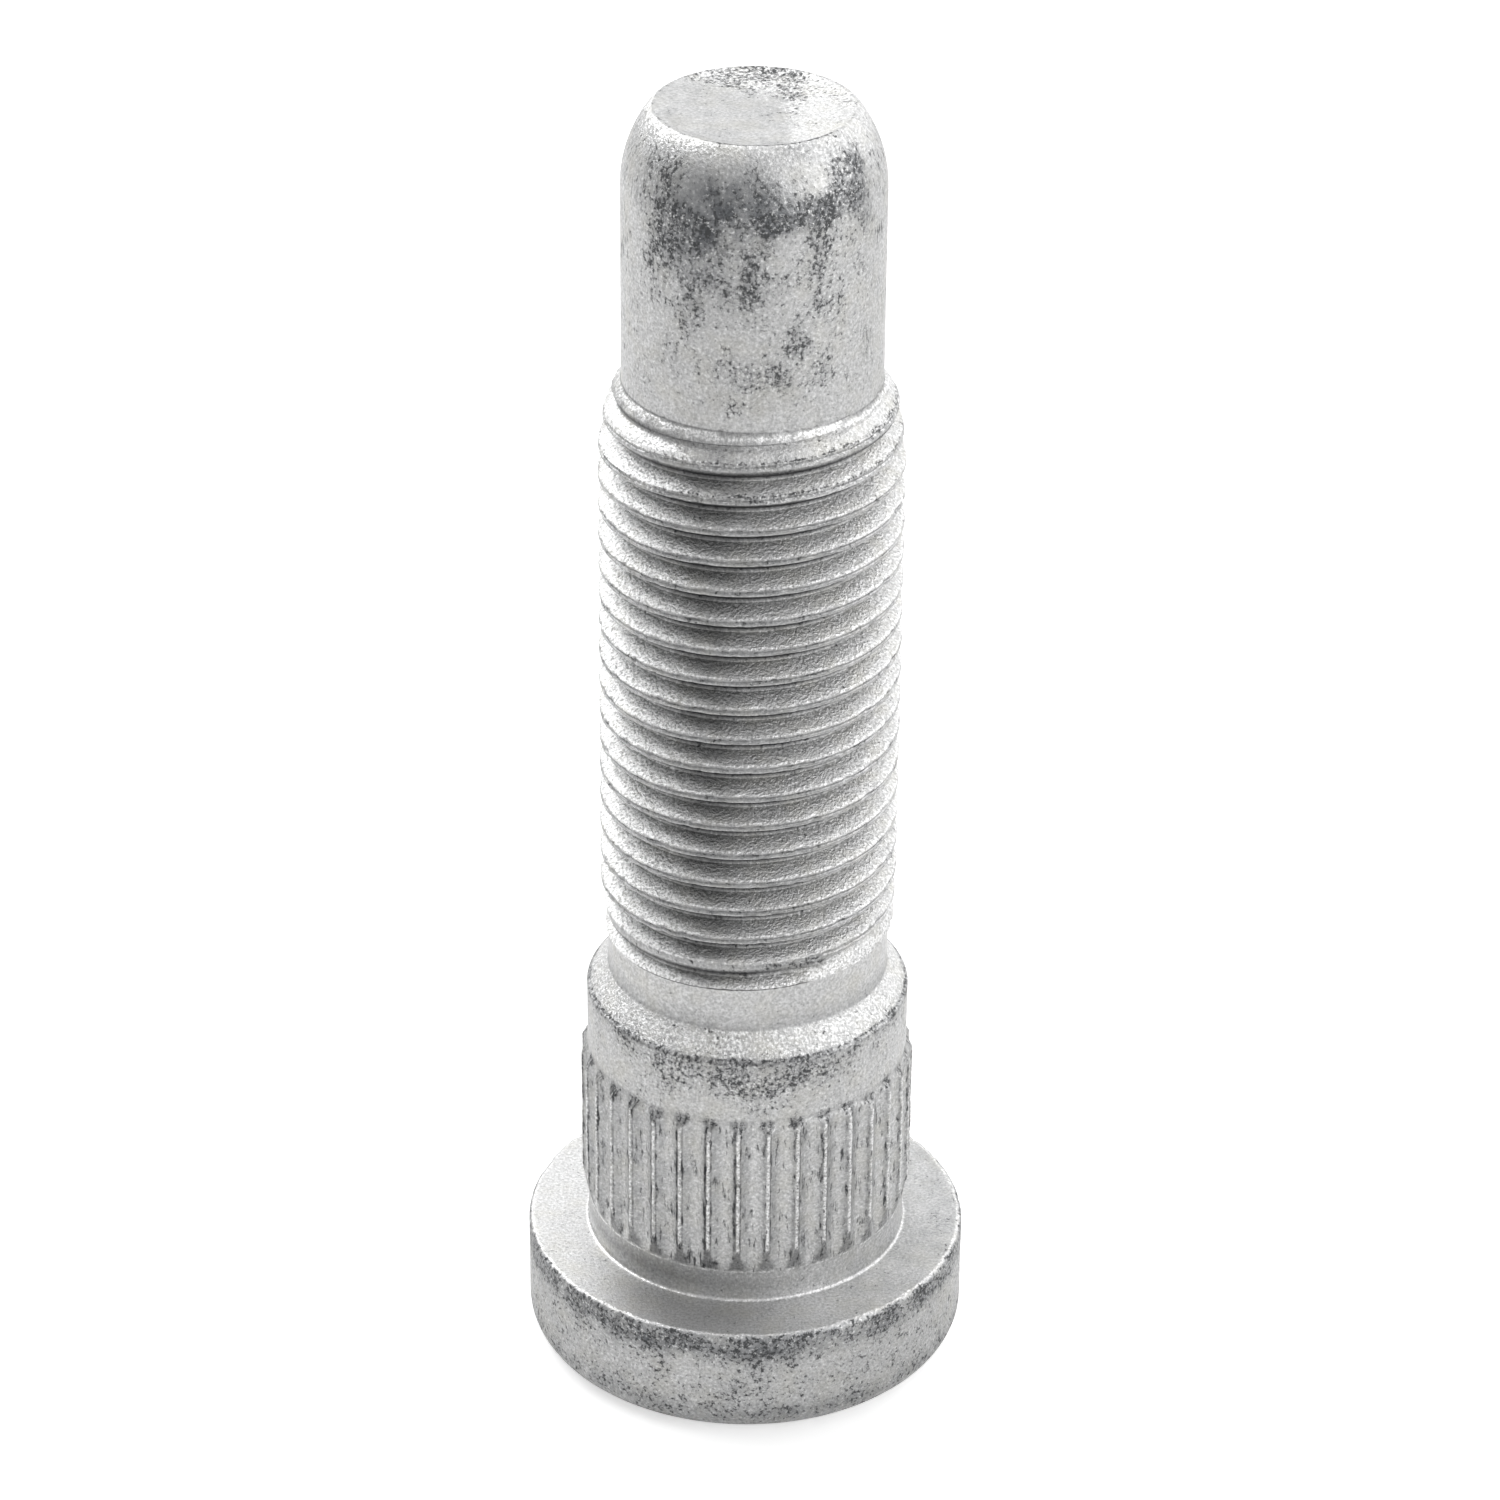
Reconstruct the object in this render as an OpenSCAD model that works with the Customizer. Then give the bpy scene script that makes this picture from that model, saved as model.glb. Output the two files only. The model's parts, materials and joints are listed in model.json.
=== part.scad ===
// Wheel stud: a headed, splined and threaded steel pin that is pressed into a wheel hub.
// It stands on its head. The origin is the middle of the head's flat base, and +Z runs to the tip.

/* [Head] */
// Diameter of the round head
head_diameter = 21.1; // [19.5:0.1:26]
// Height of the head, from its base to the face that seats on the hub
head_height = 5.75; // [3:0.05:9]
// Radius round the lower edge of the head
head_base_round = 1.3; // [0.3:0.1:1.8]
// Radius round the upper edge of the head
head_top_round = 0.4; // [0.1:0.05:0.8]
// How far outside the ridges the flat seat on the head begins
seat_clearance = 0.05; // [0.03:0.01:0.5]

/* [Press-fit spline] */
// Diameter over the tips of the ridges
spline_diameter = 15.9; // [15.7:0.05:17]
// Diameter of the plain shank below, between and above the ridges
guide_diameter = 15.25; // [14.6:0.05:15.5]
// Number of ridges round the shank
ridge_count = 35; // [24:1:42]
// Width of the flat tip of a ridge
ridge_tip_width = 0.2; // [0.1:0.05:0.4]
// Width of a ridge where it meets the plain shank
ridge_foot_width = 1.15; // [0.6:0.05:1.2]
// Height of the plain collar between the head and the ridges
collar_height = 1.6; // [0.5:0.1:3]
// Height of the ridges, end slopes included
ridge_height = 8.6; // [5:0.1:16]
// Height of the slope at the lower ends of the ridges
ridge_lower_slope = 1.1; // [0.4:0.1:1.6]
// Height of the slope at the upper ends of the ridges
ridge_upper_slope = 0.7; // [0.3:0.1:1.4]
// Direction of the first ridge, in degrees from +X
ridge_direction = -92.6; // [-180:0.2:180]
// Height of the plain band above the ridges
guide_height = 3.3; // [1:0.1:8]
// Height of the cone from the plain band to the neck
guide_cone_height = 1.1; // [0.5:0.1:2]
// Width of the broken edge between the plain band and its cone
guide_edge = 0.15; // [0.05:0.05:0.3]

/* [Thread] */
// Outside diameter of the thread
thread_diameter = 13.88; // [13:0.02:14]
// Distance from one crest to the next
thread_pitch = 1.5; // [1.25:0.25:1.75]
// Width of the flat on a crest
crest_width = 0.3; // [0.1:0.02:0.4]
// Width of the flat at the bottom of the groove
root_width = 0.2; // [0.1:0.02:0.4]
// Height of the threaded stretch, with the lead-in and the run-out
thread_height = 28.95; // [12:0.05:50]
// Height over which the crests rise above the neck
runout_height = 2.5; // [1.5:0.1:5]
// Height of the cone at the start of the thread
lead_cone_height = 1.1; // [0.6:0.1:2]
// Height over which the first crests taper to full size
lead_taper_height = 3.1; // [1:0.1:5]
// Diameter at which the cone gives way to the taper
lead_cone_diameter = 12.95; // [12.5:0.05:13.2]
// Height of the groove's first point above the neck's top edge
groove_start = -0.55; // [-0.8:0.05:0.5]
// Direction in which the groove starts, in degrees from +X
groove_direction = 0; // [0:5:355]

/* [Neck and pilot] */
// Diameter of the smooth neck below the thread
neck_diameter = 13.2; // [12.6:0.05:13.4]
// Height of the smooth neck
neck_height = 2.25; // [0.8:0.05:8]
// Diameter of the smooth pilot above the thread
pilot_diameter = 11.74; // [9.5:0.02:11.9]
// Height of the straight part of the pilot
pilot_height = 8.4; // [2:0.1:20]
// Diameter of the flat end of the rounded tip
tip_flat_diameter = 9.1; // [5:0.1:9.4]
// Depth of the shallow dish in the end
dish_depth = 0.12; // [0.05:0.01:0.4]
// Width of the rim round the dish
dish_rim = 0.45; // [0.2:0.05:1]

/* [Hidden] */
$fn = 96;
overlap = 0.2;

// Radii
head_r = head_diameter / 2;
spline_r = spline_diameter / 2;
guide_r = guide_diameter / 2;
neck_r = neck_diameter / 2;
thread_r = thread_diameter / 2;
lead_r = lead_cone_diameter / 2;
pilot_r = pilot_diameter / 2;
tip_r = tip_flat_diameter / 2;

// Radius of the hollow round between the head and the shank, which leaves the seat clear of the ridges
foot_round = spline_r + seat_clearance - guide_r;

// Heights of the shoulders, upward from the base of the head
ridge_z = head_height + collar_height;
guide_z = ridge_z + ridge_height;
guide_cone_z = guide_z + guide_height;
neck_z = guide_cone_z + guide_cone_height;
thread_z = neck_z + neck_height;
pilot_z = thread_z + thread_height;
dome_z = pilot_z + pilot_height;
tip_z = dome_z + sqrt(pilot_r * pilot_r - tip_r * tip_r);

// The dish is part of a large ball
dish_r = tip_r - dish_rim;
dish_ball_r = (dish_r * dish_r + dish_depth * dish_depth) / (2 * dish_depth);

// The groove of the thread has 60 degree sides, and fades out over its last turn
flank_slope = tan(30);
groove_mouth = thread_pitch - crest_width;
groove_depth = (groove_mouth - root_width) / 2 / flank_slope;
groove_steps = 36;
groove_fade = groove_steps;
groove_outside = 0.3;
groove_low_z = thread_z + groove_start;
groove_turns = ceil((pilot_z + thread_pitch - groove_low_z) / thread_pitch);
groove_count = groove_turns * groove_steps;

// Corner k of the groove's path, on the spiral, at a radius and a height beside it
function on_spiral(k, r, dz) =
  let (a = 360 * k / groove_steps + groove_direction)
  [r * cos(a), r * sin(a), groove_low_z + thread_pitch * k / groove_steps + dz];

// How far the groove is lifted out of the metal at corner k, from 1 at its end to 0
function lift(k) = max(0, 1 - k / groove_fade);

// The four corners of the groove at corner k of its path
function groove_section(k) =
  let (root_r = thread_r - groove_depth * (1 - lift(k)) + groove_outside / 2 * lift(k))
  let (mouth_r = thread_r + groove_outside)
  let (mouth = root_width / 2 + (mouth_r - root_r) * flank_slope)
  [
    on_spiral(k, mouth_r, -mouth),
    on_spiral(k, root_r, -root_width / 2),
    on_spiral(k, root_r, root_width / 2),
    on_spiral(k, mouth_r, mouth)
  ];

module thread_groove() {
  last = 4 * groove_count;
  sides = [
    for (k = [0:groove_count - 1])
      for (j = [0:3])
        let (a = 4 * k + j, b = 4 * k + (j + 1) % 4)
          each [[a, a + 4, b + 4], [a, b + 4, b]]
  ];
  polyhedron(
    points = [for (k = [0:groove_count]) each groove_section(k)],
    faces = concat([[0, 1, 2, 3]], sides, [[last + 3, last + 2, last + 1, last]]),
    convexity = 10
  );
}

// Half of the head's section, with both edges rounded by true arcs
module head_section() {
  difference() {
    square([head_r, head_height]);
    translate([head_r - head_base_round, -overlap])
      square([head_base_round + overlap, head_base_round + overlap]);
    translate([head_r - head_top_round, head_height - head_top_round])
      square([head_top_round + overlap, head_top_round + overlap]);
  }
  translate([head_r - head_base_round, head_base_round]) circle(r = head_base_round);
  translate([head_r - head_top_round, head_height - head_top_round]) circle(r = head_top_round);
}

// Half of the ring of metal that rounds the corner between the head and the shank
module foot_section() {
  difference() {
    translate([guide_r - overlap, head_height - overlap])
      square([foot_round + overlap, foot_round + overlap]);
    translate([guide_r + foot_round, head_height + foot_round]) circle(r = foot_round);
  }
}

// Half of the shank's section, from inside the head to the top of the pilot's straight part
module shank_section() {
  polygon([
    [0, head_height - overlap],
    [guide_r, head_height - overlap],
    [guide_r, guide_cone_z - guide_edge],
    [guide_r - guide_edge, guide_cone_z],
    [neck_r, neck_z],
    [neck_r, thread_z],
    [thread_r, thread_z + runout_height],
    [thread_r, pilot_z - lead_cone_height - lead_taper_height],
    [lead_r, pilot_z - lead_cone_height],
    [pilot_r, pilot_z],
    [pilot_r, dome_z],
    [0, dome_z]
  ]);
}

// Half of the rounded tip's section, a ball of the pilot's own radius with its top cut flat
module tip_section() {
  intersection() {
    translate([0, dome_z]) circle(r = pilot_r);
    translate([0, dome_z - overlap]) square([pilot_r, tip_z - dome_z + overlap]);
  }
}

// Half of the room that the ridges may fill, sloped at both ends
module ridge_section() {
  polygon([
    [guide_r - overlap, ridge_z - overlap],
    [guide_r, ridge_z],
    [spline_r, ridge_z + ridge_lower_slope],
    [spline_r, guide_z - ridge_upper_slope],
    [guide_r, guide_z],
    [guide_r - overlap, guide_z + overlap]
  ]);
}

// Outline of one ridge across the shank, a little higher than the room that it is cut to
module ridge_outline() {
  low = guide_r - overlap;
  high = spline_r + overlap;
  polygon([
    [low, -ridge_foot_width / 2],
    [guide_r, -ridge_foot_width / 2],
    [spline_r, -ridge_tip_width / 2],
    [high, -ridge_tip_width / 2],
    [high, ridge_tip_width / 2],
    [spline_r, ridge_tip_width / 2],
    [guide_r, ridge_foot_width / 2],
    [low, ridge_foot_width / 2]
  ]);
}

// The press-fit spline: rolled ridges with narrow flat tips, sloped off at both ends
module spline_ridges() {
  intersection() {
    rotate_extrude() ridge_section();
    translate([0, 0, ridge_z - overlap])
      linear_extrude(height = ridge_height + 2 * overlap)
        for (i = [0:ridge_count - 1])
          rotate(360 * i / ridge_count + ridge_direction) ridge_outline();
  }
}

module wheel_stud() {
  color("silver")
    difference() {
      union() {
        rotate_extrude() {
          head_section();
          foot_section();
          shank_section();
          tip_section();
        }
        spline_ridges();
      }
      translate([0, 0, tip_z - dish_depth + dish_ball_r]) sphere(r = dish_ball_r);
      thread_groove();
    }
}

wheel_stud();
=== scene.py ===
"""The finish and the rolled detail of a press-in wheel stud, built round its CAD frame."""

import json
import math

import bpy
from bpy.props import FloatProperty, FloatVectorProperty, IntProperty, PointerProperty
from bpy.types import Operator, Panel, PropertyGroup
from mathutils import Matrix, Vector, noise


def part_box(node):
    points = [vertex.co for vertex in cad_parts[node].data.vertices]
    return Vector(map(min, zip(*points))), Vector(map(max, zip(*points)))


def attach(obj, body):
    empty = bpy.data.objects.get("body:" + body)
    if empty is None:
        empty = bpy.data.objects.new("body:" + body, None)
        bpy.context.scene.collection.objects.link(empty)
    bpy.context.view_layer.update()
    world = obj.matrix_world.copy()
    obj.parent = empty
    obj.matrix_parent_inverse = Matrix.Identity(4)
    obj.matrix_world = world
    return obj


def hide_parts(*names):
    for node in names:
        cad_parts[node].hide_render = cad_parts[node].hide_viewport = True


bl_info = {
    "name": "Wheel stud",
    "version": (1, 0, 0),
    "blender": (4, 5, 0),
    "location": "3D View > Sidebar > Wheel stud",
    "description": "Builds a zinc coated wheel stud with its rolled thread and spline, in a plain studio",
    "category": "Object",
}

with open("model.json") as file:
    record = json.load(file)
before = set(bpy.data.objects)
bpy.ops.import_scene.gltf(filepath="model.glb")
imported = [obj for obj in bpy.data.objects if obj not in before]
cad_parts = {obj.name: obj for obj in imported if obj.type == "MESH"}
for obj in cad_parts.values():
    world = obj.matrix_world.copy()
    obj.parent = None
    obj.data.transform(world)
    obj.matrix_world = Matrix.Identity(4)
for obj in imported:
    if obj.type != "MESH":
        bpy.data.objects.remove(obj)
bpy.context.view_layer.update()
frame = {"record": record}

NODE = "wheel_stud"
BODY = "root"
MM = 0.001
LOW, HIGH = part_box(NODE)
MOUNTS = {mount["name"]: mount for mount in frame["record"]["mounts"]}
FULL_TURN = 2 * math.pi
# The camera stands on this side of the stud
FRONT = -math.pi / 2
SEED = 7


def linear(hex_colour):
    """An sRGB hex colour as linear red, green, blue and alpha."""
    parts = [int(hex_colour[i:i + 2], 16) / 255 for i in (1, 3, 5)]
    return [c / 12.92 if c <= 0.04045 else ((c + 0.055) / 1.055) ** 2.4 for c in parts] + [1.0]


def length(name, about, millimetres, low=0.0):
    """A size in metres that the sidebar shows as a length."""
    return FloatProperty(name=name, description=about, default=millimetres * MM, min=low * MM,
                         unit="LENGTH", precision=5)


def colour(name, about, hex_colour):
    """A colour that the sidebar shows as a swatch."""
    return FloatVectorProperty(name=name, description=about, default=linear(hex_colour), size=4,
                               min=0.0, max=1.0, subtype="COLOR")


class StudSizes(PropertyGroup):
    """The stud's driving sizes, as its CAD frame has them."""

    head_diameter: length("Head diameter", "Across the round head", (HIGH.x - LOW.x) / MM)
    head_height: length("Head height", "From the base to the seat", MOUNTS["hub_seat"]["pos_m"][2] / MM)
    head_base_round: length("Lower head edge", "Radius round the head's lower edge", 1.3)
    head_top_round: length("Upper head edge", "Radius round the head's upper edge", 0.4)
    spline_diameter: length("Spline diameter", "Across the tips of the ridges", 15.9)
    guide_diameter: length("Shank diameter", "Across the plain shank between the ridges", 15.25)
    ridge_count: IntProperty(name="Ridges", description="Ridges round the shank", default=35, min=12, max=60)
    ridge_direction: FloatProperty(name="First ridge", description="Direction of the first ridge from +X",
                                   default=math.radians(-92.6), unit="ROTATION")
    ridge_low: length("Ridges from", "Height of the foot of the ridges above the base", 7.35)
    ridge_high: length("Ridges to", "Height of the upper ends of the ridges above the base", 15.95)
    cone_low: length("Cone from", "Height of the lower edge of the cone under the neck", 19.25)
    cone_high: length("Cone to", "Height of the foot of the neck", 20.35)
    neck_diameter: length("Neck diameter", "Across the smooth neck", 13.2)
    thread_low: length("Thread from", "Height of the neck's top edge", 22.6)
    thread_high: length("Thread to", "Height at which the lead-in meets the pilot", 51.55)
    thread_diameter: length("Thread diameter", "Across the crests", 2 * MOUNTS["nut_thread"]["dims"]["r_mm"])
    pitch: length("Pitch", "From one crest to the next", 1.5)
    crest_width: length("Crest width", "Width of the flat on a crest", 0.3)
    root_width: length("Root width", "Width of the bottom of the groove", 0.2)
    pilot_diameter: length("Pilot diameter", "Across the smooth pilot", 2 * MOUNTS["pilot"]["dims"]["r_mm"])
    dome_low: length("Dome from", "Height at which the pilot starts to round over", 59.95)
    tip_high: length("Overall height", "From the base to the rim of the tip", HIGH.z / MM)


class StudColours(PropertyGroup):
    """The colours of the stud's finish."""

    zinc_light: colour("Bright zinc", "The bright grains of the coating", "#DEDEDE")
    zinc_dark: colour("Dull zinc", "The coating between its bright grains", "#B2B2B2")
    stain: colour("Stain", "The faint warm tint of thin coating", "#C3C0B4")
    # Also the colour of painted shade in the valleys, the neck's corner and the darker sides of the seat and
    # tip
    bloom_and_shade: colour("Bloom", "The soft blue-grey bloom under the tip and round the head", "#6D6F72")
    # Also the colour of painted shade in dark lines under the crests, beside the ridges and along edges
    flecks_and_shade: colour("Flecks", "The dark flecks where the coating has rubbed through", "#4D4E4F")
    # Also the colour of painted highlights on the thread's left flanks, the tip and the seat's corner
    worn: colour("Worn edge", "Bare bright metal at worn edges", "#F4F4F4")
    # Painted shade: a smooth dark film in grooves, corners and under edges
    painted_shade: colour("Old oil", "The smooth dark film in corners and grooves", "#2A2B2D")


class StageSettings(PropertyGroup):
    """The plain studio."""

    floor: colour("Floor", "The seamless white paper under the stud", "#F4F4F4")
    room_level: FloatProperty(name="Room light", description="Strength of the even light on the floor",
                              default=0.4, min=0.0, max=1.0, subtype="FACTOR")
    room_fall: FloatProperty(name="Room contrast", description="How much the room's brightness varies",
                             default=0.5, min=0.0, max=1.0, subtype="FACTOR")
    bright_side: FloatVectorProperty(name="Bright side", description="Direction of the room's brightest side",
                                     default=(0.95, 0.3, 0.0), size=3, subtype="DIRECTION")
    left_level: FloatProperty(name="Left softbox", description="Brightness of the left softbox's face",
                              default=2.9, min=0.0, max=10.0)
    right_level: FloatProperty(name="Right softbox", description="Brightness of the right softbox's face",
                               default=1.4, min=0.0, max=10.0)
    front_level: FloatProperty(name="Front softbox", description="Brightness of the front softbox's face",
                               default=1.3, min=0.0, max=10.0)


class Skin:
    """One closed surface, gathered ring by ring from the base to the tip."""

    def __init__(self):
        self.points = []
        self.faces = []

    def point(self, angle, radius, height):
        self.points.append((radius * math.cos(angle), radius * math.sin(angle), height))
        return len(self.points) - 1

    def ring(self, angles, radius, height):
        """A closed ring, where radius and height are functions of the angle or plain numbers."""
        as_function = [v if callable(v) else (lambda angle, fixed=v: fixed) for v in (radius, height)]
        return [self.point(a, as_function[0](a), as_function[1](a)) for a in angles]

    def band(self, lower, upper):
        """Joins two rings that start at the same angle and may have different numbers of points."""
        i, j, n, m = 0, 0, len(lower), len(upper)
        while i < n or j < m:
            a, b = lower[i % n], upper[j % m]
            if n == m:
                self.faces.append((a, lower[(i + 1) % n], upper[(j + 1) % m], b))
                i, j = i + 1, j + 1
            elif j >= m or (i < n and (i + 1) * m <= (j + 1) * n):
                self.faces.append((a, lower[(i + 1) % n], b))
                i += 1
            else:
                self.faces.append((a, upper[(j + 1) % m], b))
                j += 1

    def section(self, angles, outline, below):
        """Rings through the points of a half section, each joined to the one below."""
        for radius, height in outline:
            ring = self.ring(angles, radius, height)
            self.band(below, ring)
            below = ring
        return below

    def cap(self, ring, height, upward):
        """Closes a ring with a fan round a middle point."""
        middle = self.point(0.0, 0.0, height)
        for i, a in enumerate(ring):
            b = ring[(i + 1) % len(ring)]
            self.faces.append((a, b, middle) if upward else (b, a, middle))


# Each use of the noise reads another part of it, so that no two patterns line up
NOISE_USES = {
    "lumps": 0.0,
    "ridge ends": 2.0,
    "small lumps": 4.0,
    "ridge dents": 5.0,
    "ragged edges": 6.0,
    "crest dents": 9.0,
    "drift": 11.0,
    "broken tips": 13.0,
    "patchy crests": 17.0,
    "ragged rim": 21.0,
    "broken edge": 25.0,
    "cone patches": 27.0,
    "oil edge": 31.0,
}


def rough(point, size, use="lumps"):
    """Smooth noise from -1 to 1 with lumps of a given size in metres, different for each use."""
    salt = NOISE_USES[use]
    return noise.noise(Vector(point) / size + Vector((salt, SEED, -salt)))


def smooth_step(value, low, high):
    """From 0 at low to 1 at high, with soft ends."""
    t = min(1.0, max(0.0, (value - low) / (high - low)))
    return t * t * (3 - 2 * t)


def within(value, low, high, soft):
    """1 between low and high, and 0 outside, with soft ends."""
    return smooth_step(value, low - soft, low + soft) * (1 - smooth_step(value, high - soft, high + soft))


def soft_min(a, b, width):
    """The smaller of two values, rounded over where they cross."""
    h = max(width - abs(a - b), 0.0) / width
    return min(a, b) - h * h * width / 4


def arc(centre_r, centre_z, radius, start, end, steps):
    """Points of a round edge in the stud's half section, angles in degrees from the outward direction."""
    turns = [math.radians(start + (end - start) * i / steps) for i in range(steps + 1)]
    return [(centre_r + radius * math.cos(t), centre_z + radius * math.sin(t)) for t in turns]


def spaced(low, high, count):
    """Evenly spaced values above low, up to and including high."""
    return [low + (high - low) * (i + 1) / count for i in range(count)]


# Places across one ridge and its valley, as shares of the distance between two ridges
RIDGE_PLACES = [0.0, 0.05, 0.085, 0.13, 0.2, 0.33, 0.5, 0.67, 0.8, 0.87, 0.915, 0.95]
# Points round the thread and pilot
THREAD_COLUMNS = 220
# Rings of the cropped end, as a share of the rim's radius and a number of points
END_RINGS = ((0.94, 220), (0.89, 220), (0.82, 110), (0.72, 110), (0.6, 110), (0.48, 110), (0.36, 110),
             (0.24, 44), (0.12, 44))
# Round at the foot of the shank, which is crisper than the frame's and leaves the whole seat flat
FOOT_ROUND = 0.16 * MM
# Round of the head's upper edge, as a share of the frame's
TOP_ROUND_SHARE = 0.55
# Width of the broken edge between the guide band and its cone
GUIDE_EDGE = 0.15 * MM
# Height over which the crests rise from the neck, and over which they taper at the top
RUNOUT = 2.5 * MM
TAPER = 2.4 * MM
# Radius at which the taper gives way to the lead-in cone
LEAD_RADIUS = 6.58 * MM
# The lead-in cone lies a little lower on the coated surface than in the frame. These are the depths below the
# frame's upper end of the thread at which the cone starts and ends, and of the first ring of the pilot.
CONE_START_DROP = 1.8 * MM
CONE_END_DROP = 0.8 * MM
PILOT_FOOT_DROP = 0.72 * MM
# How much wider half the groove gets with each unit of radius, as its sides stand at 60 degrees to each other
FLANK_SLOPE = math.tan(math.radians(30))


def crest_edge(sizes):
    """Distance from the middle of the groove at which the flat of the crest begins."""
    return (sizes.pitch - sizes.crest_width) / 2


def groove_depth(sizes):
    """Depth of the groove below the crests."""
    return (sizes.pitch - sizes.crest_width - sizes.root_width) / 2 / FLANK_SLOPE


def ridge_height(sizes):
    """Height of the ridges' tips above the plain shank."""
    return (sizes.spline_diameter - sizes.guide_diameter) / 2


def tip_reach(sizes):
    """Radius at which the rounded tip is cropped."""
    return math.sqrt((sizes.pilot_diameter / 2) ** 2 - (sizes.tip_high - sizes.dome_low) ** 2)


def shank_angles(sizes):
    """Angles of the columns round the head and shank, close together at each ridge's tip."""
    step = FULL_TURN / sizes.ridge_count
    places = [i + place for i in range(sizes.ridge_count) for place in RIDGE_PLACES]
    return [sizes.ridge_direction + step * place for place in places]


def even_angles(sizes, count=THREAD_COLUMNS):
    """Evenly spaced angles of a ring's points."""
    return [sizes.ridge_direction + FULL_TURN * k / count for k in range(count)]


def nearest_ridge(sizes, angle):
    """The number of the nearest ridge, and the distance to it as a share of the distance between two."""
    turn = (angle - sizes.ridge_direction) / (FULL_TURN / sizes.ridge_count)
    return round(turn), turn - round(turn)


def ridge_rise(sizes, across):
    """Height of a ridge above the plain shank: a narrow flat tip, steep shoulders, a wide shallow valley."""
    tip_share, shoulder_share, shoulder_drop = 0.042, 0.09, 0.25
    across = abs(across)
    full = ridge_height(sizes)
    if across <= tip_share:
        return full
    if across <= shoulder_share:
        return full * (1.0 - shoulder_drop * (across - tip_share) / (shoulder_share - tip_share))
    return full * (1.0 - shoulder_drop) * (1 - (across - shoulder_share) / (0.5 - shoulder_share)) ** 1.5


def end_room(sizes, number, height):
    """How high the slopes at a ridge's two ends let it rise. Each ridge stops at its own height."""
    lower_slope, upper_slope, usual_gap, ragged_by = 1.45 * MM, 0.45 * MM, 0.2 * MM, 0.3 * MM
    ragged = rough((number * 3.1 * MM, 0, 0), MM, "ridge ends") * ragged_by
    top = sizes.ridge_high - usual_gap + ragged
    return ridge_height(sizes) * min((height - sizes.ridge_low) / lower_slope, (top - height) / upper_slope)


def splined_radius(sizes, angle, height):
    """Radius of the shank with its ridges."""
    number, across = nearest_ridge(sizes, angle)
    rise = min(ridge_rise(sizes, across), end_room(sizes, number, height))
    return sizes.guide_diameter / 2 + max(0.0, rise)


def envelope(sizes, height):
    """Radius that the crests reach: it rises from the neck, and tapers into the pilot's lead-in."""
    crest, neck, pilot = (d / 2 for d in (sizes.thread_diameter, sizes.neck_diameter, sizes.pilot_diameter))
    cone_high, cone_low = sizes.thread_high - CONE_END_DROP, sizes.thread_high - CONE_START_DROP
    full_high = cone_low - TAPER
    if height <= sizes.thread_low:
        return neck
    if height <= sizes.thread_low + RUNOUT:
        return neck + (crest - neck) * (height - sizes.thread_low) / RUNOUT
    if height <= full_high:
        return crest
    if height <= cone_low:
        return crest - (crest - LEAD_RADIUS) * (height - full_high) / TAPER
    if height <= cone_high:
        return LEAD_RADIUS - (LEAD_RADIUS - pilot) * (height - cone_low) / (cone_high - cone_low)
    return pilot


# Direction in which the groove starts, and how far below the neck's top edge its first point lies
GROOVE_START_ANGLE = 0.0
GROOVE_START_DROP = 0.55 * MM


def groove_height(sizes, turns):
    """Height of the groove's middle after a number of turns from its start."""
    return sizes.thread_low - GROOVE_START_DROP + sizes.pitch * turns


def nearest_groove(sizes, angle, height):
    """Distance above the middle of the nearest turn of the groove, and the groove's turns up to there."""
    turns = (angle - GROOVE_START_ANGLE) / FULL_TURN
    offset = (height - groove_height(sizes, turns)) / sizes.pitch
    return (offset - round(offset)) * sizes.pitch, turns + round(offset)


def groove_radius(sizes, across, turns):
    """Radius of the groove's own wall, and depth of the seam along the crest. The lowest turn is a little
    shallow, and fades out on the front's right before the groove begins in earnest."""
    shallow_by, seam_depth, seam_width = 0.12, 0.045 * MM, 0.04 * MM
    faded = 1 - smooth_step(turns, 0.3, 0.5) + within(turns, 0.83, 1.2, 0.06)
    lift = min(1.0, max(shallow_by * (1 - smooth_step(turns, 1.1, 1.5)), faded))
    root = sizes.thread_diameter / 2 - groove_depth(sizes) * (1 - lift) + 0.15 * MM * lift
    if turns < 0:
        root = sizes.thread_diameter
    beyond = max(0.0, abs(across) - sizes.root_width / 2)
    seam = seam_depth * (1 - smooth_step(sizes.pitch / 2 - abs(across), 0.0, seam_width))
    return root + beyond / FLANK_SLOPE, seam


# Turns of the groove between which the thread ends in a lip, and how far below the groove that lip lies
LIP_FROM = 0.42
LIP_TO = 1.2
LIP_PLACE = -0.53 * MM


def with_lip(sizes, reach, across, turns):
    """The crests' radius near the lowest groove, under which the thread ends in a small step to the neck."""
    here = within(turns, LIP_FROM, LIP_TO, 0.08)
    if across < LIP_PLACE:
        return reach + (sizes.neck_diameter / 2 - reach) * here
    # The lip stands proud of the neck, and leans outward where the groove has faded out on the right
    rise = 0.13 * MM * (1 - smooth_step(across, -0.5 * MM, 0.6 * MM))
    leaning = smooth_step(turns, 0.78, 0.88) * here
    tilt = (0.08 - 0.25 * (across / MM + 0.5) / 0.85) * MM
    if across > 0.35 * MM:
        tilt = -0.17 * MM * (0.6 - across / MM) / 0.25
    return reach + rise * here + min(tilt, 0.08 * MM) * leaning


def groove_places(sizes):
    """Places of the spiral rows across one pitch, close together at the crest's edges and at the root."""
    edge, root_edge = crest_edge(sizes), sizes.root_width / 2
    below = [edge + 0.06 * MM, edge + 0.025 * MM, edge - 0.03 * MM, 0.5 * MM, 0.37 * MM, 0.16 * MM,
             root_edge * 1.15]
    above = [root_edge * 0.6, root_edge * 1.3, 0.35 * MM, edge - 0.01 * MM, edge + 0.1 * MM]
    return [-sizes.pitch / 2] + [-place for place in below] + above


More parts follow.
